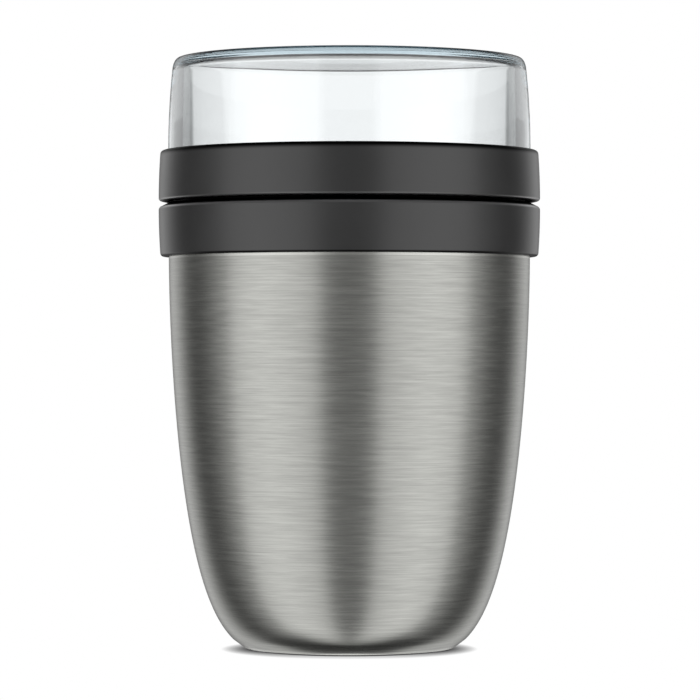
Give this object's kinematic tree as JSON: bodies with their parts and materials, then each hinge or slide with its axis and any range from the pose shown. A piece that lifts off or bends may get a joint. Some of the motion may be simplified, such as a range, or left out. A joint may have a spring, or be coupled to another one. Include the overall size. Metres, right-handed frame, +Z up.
{
  "type": "insulated lunch pot",
  "caption": "Tapered double-wall vacuum food pot of brushed steel with a dark collar, an insulated screw lid and a clear cup that screws upside down into the lid.",
  "frame": {"origin": "on the pot's axis, in the plane that its foot stands on", "axes": "+Z up along the axis, from the foot to the flat top of the cup; the pot is round, so X and Y are any two directions across it"},
  "size_m": [0.107, 0.107, 0.1651],
  "materials": {
    "brushed_steel": "brushed round the axis",
    "satin_steel": "satin",
    "charcoal_plastic": "fine matt moulding",
    "clear_plastic": "clear, polished",
    "silicone": "matt silicone",
    "copper_foil": "bright copper foil",
    "insulation": "foamed",
    "glass_solder": "dark glass solder"
  },
  "bodies": {
    "pot": {"outer_shell": "brushed_steel", "base_disc": "satin_steel", "seal_off_bead": "glass_solder", "vacuum_getter": "satin_steel", "base_cover": "satin_steel", "radiation_foil": "copper_foil", "inner_liner": "satin_steel", "collar": "charcoal_plastic"},
    "lid_seal": {"lid_seal": "silicone"},
    "lid": {"lid_ring": "charcoal_plastic", "lid_plug": "charcoal_plastic", "lid_insulation": "insulation"},
    "cup_seal": {"cup_seal": "silicone"},
    "cup": {"cup": "clear_plastic"}
  },
  "joints": [
    {"name": "lid_rise", "type": "slide", "parent": "pot", "child": "lid_seal", "axis": [0, 0, 1], "range_m": [0, 0.04]},
    {"name": "lid_turn", "type": "hinge", "parent": "lid_seal", "child": "lid", "pos_m": [0, 0, 0.125], "axis": [0, 0, 1], "range_deg": [0, 1800]},
    {"name": "cup_turn", "type": "hinge", "parent": "lid", "child": "cup_seal", "pos_m": [0, 0, 0.135], "axis": [0, 0, 1], "range_deg": [0, 720]},
    {"name": "cup_rise", "type": "slide", "parent": "cup_seal", "child": "cup", "axis": [0, 0, 1], "range_m": [0, 0.016]}
  ],
  "couplings": [
    {"joint": "lid_rise", "follows": "lid_turn", "m_per_rad": 0.0012732},
    {"joint": "cup_rise", "follows": "cup_turn", "m_per_rad": 0.0012732}
  ]
}
